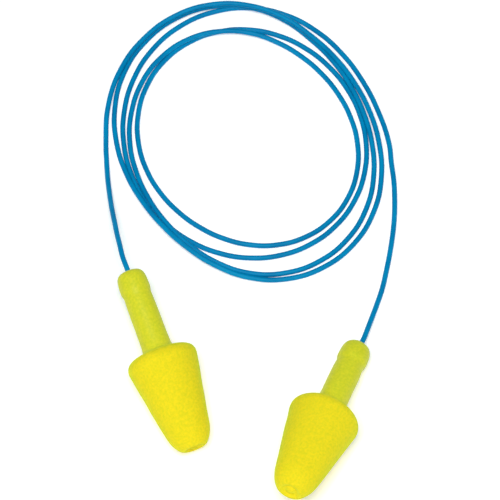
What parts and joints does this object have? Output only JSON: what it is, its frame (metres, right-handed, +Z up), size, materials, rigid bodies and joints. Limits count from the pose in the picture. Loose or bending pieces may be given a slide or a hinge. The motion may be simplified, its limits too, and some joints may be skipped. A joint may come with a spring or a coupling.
{
  "type": "foam ear plugs",
  "caption": "Flared push-to-fit foam ear plugs on flexible stems, joined by a thin cord lying in a loose coil.",
  "frame": {"origin": "on the resting surface, under the middle of the box around the two plugs, the cord left out", "axes": "+Z up from the resting surface; +Y from the plugs towards the coil of cord; +X from the left plug to the right plug, seen from above with the coil at the top"},
  "size_m": [0.0575, 0.1085, 0.0142],
  "materials": {
    "tip_foam": "bright yellow fine-celled soft foam, matte",
    "stem_foam": "greenish yellow denser foam with a smooth satin skin",
    "core_plastic": "pale flexible plastic, satin",
    "cord_vinyl": "blue soft vinyl, semi-gloss"
  },
  "bodies": {
    "cord_and_stems": {"left_stem_sleeve": "stem_foam", "left_stem_core": "core_plastic", "right_stem_sleeve": "stem_foam", "right_stem_core": "core_plastic", "cord_left_lead": "cord_vinyl", "cord_coil": "cord_vinyl", "cord_right_lead": "cord_vinyl"},
    "left_tip": {"left_foam_tip": "tip_foam"},
    "right_tip": {"right_foam_tip": "tip_foam"}
  },
  "joints": [
    {"name": "left_stem_flex", "type": "hinge", "parent": "cord_and_stems", "child": "left_tip", "pos_m": [-0.01898, 0.01485, 0.00859], "axis": [0, 0, 1], "range_deg": [-45, 15], "stiffness_Nm_per_rad": 0.003, "deforming": ["left_stem_sleeve", "left_stem_core"]},
    {"name": "right_stem_flex", "type": "hinge", "parent": "cord_and_stems", "child": "right_tip", "pos_m": [0.01885, 0.00288, 0.00438], "axis": [0, 0, 1], "range_deg": [-15, 45], "stiffness_Nm_per_rad": 0.003, "deforming": ["right_stem_sleeve", "right_stem_core"]}
  ]
}
